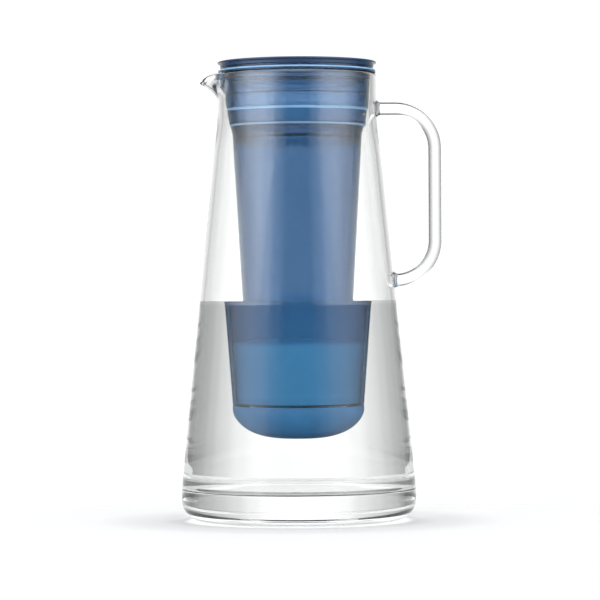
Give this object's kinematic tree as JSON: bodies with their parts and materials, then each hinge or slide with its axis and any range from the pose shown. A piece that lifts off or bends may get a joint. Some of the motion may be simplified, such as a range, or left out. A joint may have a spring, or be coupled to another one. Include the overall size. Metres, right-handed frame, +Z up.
{
  "type": "water filter pitcher",
  "caption": "Tall tapered glass water jug with a drawn spout and rod handle, a tinted filter reservoir hung in its neck and a round lid with a flip door.",
  "frame": {"origin": "centre of the jug's foot, on the surface that it stands on", "axes": "+Z up along the jug's axis, spout towards -X, handle towards +X"},
  "size_m": [0.1538, 0.1382, 0.27],
  "materials": {
    "clear_glass": "polished, clear",
    "tinted_plastic": "gloss, translucent blue",
    "blue_plastic": "satin gloss, blue",
    "cartridge_plastic": "satin, light blue",
    "dark_silicone": "matt",
    "pin_steel": "ground",
    "potting_resin": "smooth",
    "hollow_fibre": "matt",
    "carbon": "granular",
    "felt": "felted"
  },
  "bodies": {
    "jug": {"glass_jug": "clear_glass", "handle": "clear_glass"},
    "reservoir": {"reservoir_collar": "tinted_plastic", "reservoir_tube": "tinted_plastic", "socket_plate": "tinted_plastic", "neck_seal": "dark_silicone"},
    "lid": {"lid_cap": "blue_plastic", "lid_seal": "dark_silicone", "hinge_pin": "pin_steel"},
    "door": {"flip_door": "blue_plastic", "door_seal": "dark_silicone"},
    "membrane": {"membrane_housing": "cartridge_plastic", "membrane_cap": "cartridge_plastic", "membrane_base": "cartridge_plastic", "potting_disc": "potting_resin", "fibre_bundle": "hollow_fibre", "spigot_orings": "dark_silicone"},
    "cup_washer": {"cup_seal": "dark_silicone"},
    "cup": {"filter_cup": "tinted_plastic", "carbon_case": "cartridge_plastic", "carbon_cover": "cartridge_plastic", "carbon_bed": "carbon", "felt_pads": "felt"}
  },
  "joints": [
    {"name": "reservoir_lift", "type": "slide", "parent": "jug", "child": "reservoir", "axis": [0, 0, 1], "range_m": [0, 0.225]},
    {"name": "lid_lift", "type": "slide", "parent": "reservoir", "child": "lid", "axis": [0, 0, 1], "range_m": [0, 0.04]},
    {"name": "door_hinge", "type": "hinge", "parent": "lid", "child": "door", "pos_m": [0.0146, 0, 0.2679], "axis": [0, 1, 0], "range_deg": [0, 100]},
    {"name": "membrane_lift", "type": "slide", "parent": "reservoir", "child": "membrane", "axis": [0, 0, 1], "range_m": [0, 0.15]},
    {"name": "cup_drop", "type": "slide", "parent": "reservoir", "child": "cup_washer", "axis": [0, 0, -1], "range_m": [0, 0.0081]},
    {"name": "cup_twist", "type": "hinge", "parent": "cup_washer", "child": "cup", "pos_m": [0, 0, 0.06], "axis": [0, 0, -1], "range_deg": [0, 360]}
  ],
  "couplings": [
    {"joint": "cup_drop", "follows": "cup_twist", "m_per_rad": 0.0012732}
  ]
}
